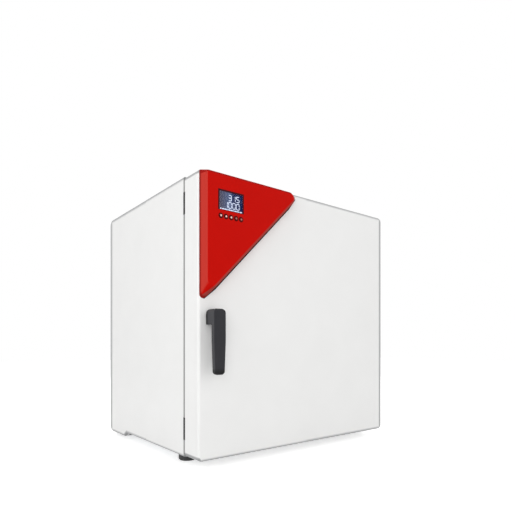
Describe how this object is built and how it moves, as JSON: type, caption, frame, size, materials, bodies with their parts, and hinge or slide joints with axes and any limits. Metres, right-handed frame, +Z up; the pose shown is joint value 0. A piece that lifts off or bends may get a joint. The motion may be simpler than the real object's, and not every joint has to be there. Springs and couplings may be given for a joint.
{
  "type": "drying oven",
  "caption": "Bench drying oven with an insulated side-hinged door, angled control panel, lever latch, wire shelves, rear fan and exhaust duct.",
  "frame": {"origin": "centre of the footprint at floor level", "axes": "+X to the right as seen from the front, +Y to the back, +Z up"},
  "size_m": [0.71, 0.685, 0.735],
  "materials": {
    "white_paint": "fine-textured white powder coat",
    "red_plastic": "moulded red, satin gloss",
    "dark_plastic": "moulded dark grey, fine grain",
    "black_rubber": "moulded black rubber",
    "grey_rubber": "grey silicone seal",
    "black_plastic": "moulded black",
    "stainless": "brushed stainless sheet",
    "galvanised": "galvanised sheet, spangled",
    "zinc_steel": "bright zinc-plated steel",
    "bright_wire": "electropolished stainless wire",
    "die_cast": "die-cast, satin",
    "mineral_wool": "mineral fibre felt",
    "clear_window": "clear gloss window",
    "display": "blue liquid-crystal display",
    "circuit_board": "green solder mask",
    "key_caps": "dark key with a pale centre",
    "nylon": "natural nylon",
    "heater_sheath": "heat-tinted sheath"
  },
  "bodies": {
    "oven": {"outer_casing": "white_paint", "base_pan": "galvanised", "rear_base_rail": "galvanised", "foot_front_left": "black_rubber", "foot_front_right": "black_rubber", "foot_rear_left": "black_rubber", "foot_rear_right": "black_rubber", "foot_screws": "zinc_steel", "front_frame": "white_paint", "strike_cup": "zinc_steel", "chamber_liner": "stainless", "insulation_jacket": "mineral_wool", "insulation_rear": "mineral_wool", "rear_bulkhead": "galvanised", "rear_panel": "white_paint", "rear_panel_screws": "zinc_steel", "hinge_bracket_lower": "zinc_steel", "hinge_bracket_upper": "zinc_steel", "hinge_pins": "zinc_steel", "hinge_bracket_screws": "zinc_steel", "hinge_blanking_plates": "black_plastic", "shelf_carrier_left": "stainless", "shelf_carrier_right": "stainless", "fan_baffle": "stainless", "fan_motor": "die_cast", "heater_element": "heater_sheath", "temperature_probe": "bright_wire", "exhaust_duct": "stainless", "flap_actuator": "black_plastic", "power_inlet": "black_plastic", "power_board": "circuit_board", "limiter_body": "black_plastic"},
    "door": {"door_shell": "white_paint", "door_inner_panel": "stainless", "door_insulation": "mineral_wool", "door_gasket": "grey_rubber", "hinge_cup_lower": "die_cast", "hinge_cup_upper": "die_cast", "hinge_bushes": "nylon", "control_panel": "red_plastic", "display_window": "clear_window", "display_module": "display", "control_board": "circuit_board", "handle_rose": "dark_plastic"},
    "handle": {"door_handle": "dark_plastic", "handle_spindle": "zinc_steel", "latch_cam": "zinc_steel"},
    "key_1": {"key_1": "key_caps"},
    "key_2": {"key_2": "key_caps"},
    "key_3": {"key_3": "key_caps"},
    "key_4": {"key_4": "key_caps"},
    "key_5": {"key_5": "key_caps"},
    "wire_shelf_1": {"wire_shelf_1": "bright_wire"},
    "wire_shelf_2": {"wire_shelf_2": "bright_wire"},
    "fan": {"fan_wheel": "stainless", "fan_shaft": "zinc_steel"},
    "exhaust_flap": {"exhaust_flap": "stainless"},
    "limiter_knob": {"limiter_knob": "black_plastic"},
    "switch_rocker": {"switch_rocker": "black_plastic"}
  },
  "joints": [
    {"name": "door_swing", "type": "hinge", "parent": "oven", "child": "door", "pos_m": [0.339, -0.2665, 0.379], "axis": [0, 0, 1], "range_deg": [0, 115]},
    {"name": "handle_turn", "type": "hinge", "parent": "door", "child": "handle", "pos_m": [-0.32, -0.3025, 0.378], "axis": [0, -1, 0], "range_deg": [0, 90]},
    {"name": "key_1_press", "type": "slide", "parent": "door", "child": "key_1", "axis": [0, 1, 0], "range_m": [0, 0.001], "stiffness_N_per_m": 300},
    {"name": "key_2_press", "type": "slide", "parent": "door", "child": "key_2", "axis": [0, 1, 0], "range_m": [0, 0.001], "stiffness_N_per_m": 300},
    {"name": "key_3_press", "type": "slide", "parent": "door", "child": "key_3", "axis": [0, 1, 0], "range_m": [0, 0.001], "stiffness_N_per_m": 300},
    {"name": "key_4_press", "type": "slide", "parent": "door", "child": "key_4", "axis": [0, 1, 0], "range_m": [0, 0.001], "stiffness_N_per_m": 300},
    {"name": "key_5_press", "type": "slide", "parent": "door", "child": "key_5", "axis": [0, 1, 0], "range_m": [0, 0.001], "stiffness_N_per_m": 300},
    {"name": "wire_shelf_1_slide", "type": "slide", "parent": "oven", "child": "wire_shelf_1", "axis": [0, -1, 0], "range_m": [0, 0.018]},
    {"name": "wire_shelf_2_slide", "type": "slide", "parent": "oven", "child": "wire_shelf_2", "axis": [0, -1, 0], "range_m": [0, 0.018]},
    {"name": "fan_spin", "type": "hinge", "parent": "oven", "child": "fan", "pos_m": [0, 0.1815, 0.379], "axis": [0, 1, 0], "continuous": true},
    {"name": "flap_turn", "type": "hinge", "parent": "oven", "child": "exhaust_flap", "pos_m": [0, 0.2675, 0.61], "axis": [0, 0, 1], "range_deg": [0, 90]},
    {"name": "limiter_turn", "type": "hinge", "parent": "oven", "child": "limiter_knob", "pos_m": [0.165, 0.3035, 0.112], "axis": [0, 1, 0], "range_deg": [0, 270]},
    {"name": "switch_rock", "type": "hinge", "parent": "oven", "child": "switch_rocker", "pos_m": [0.25, 0.3025, 0.126], "axis": [1, 0, 0], "range_deg": [0, 20]}
  ]
}
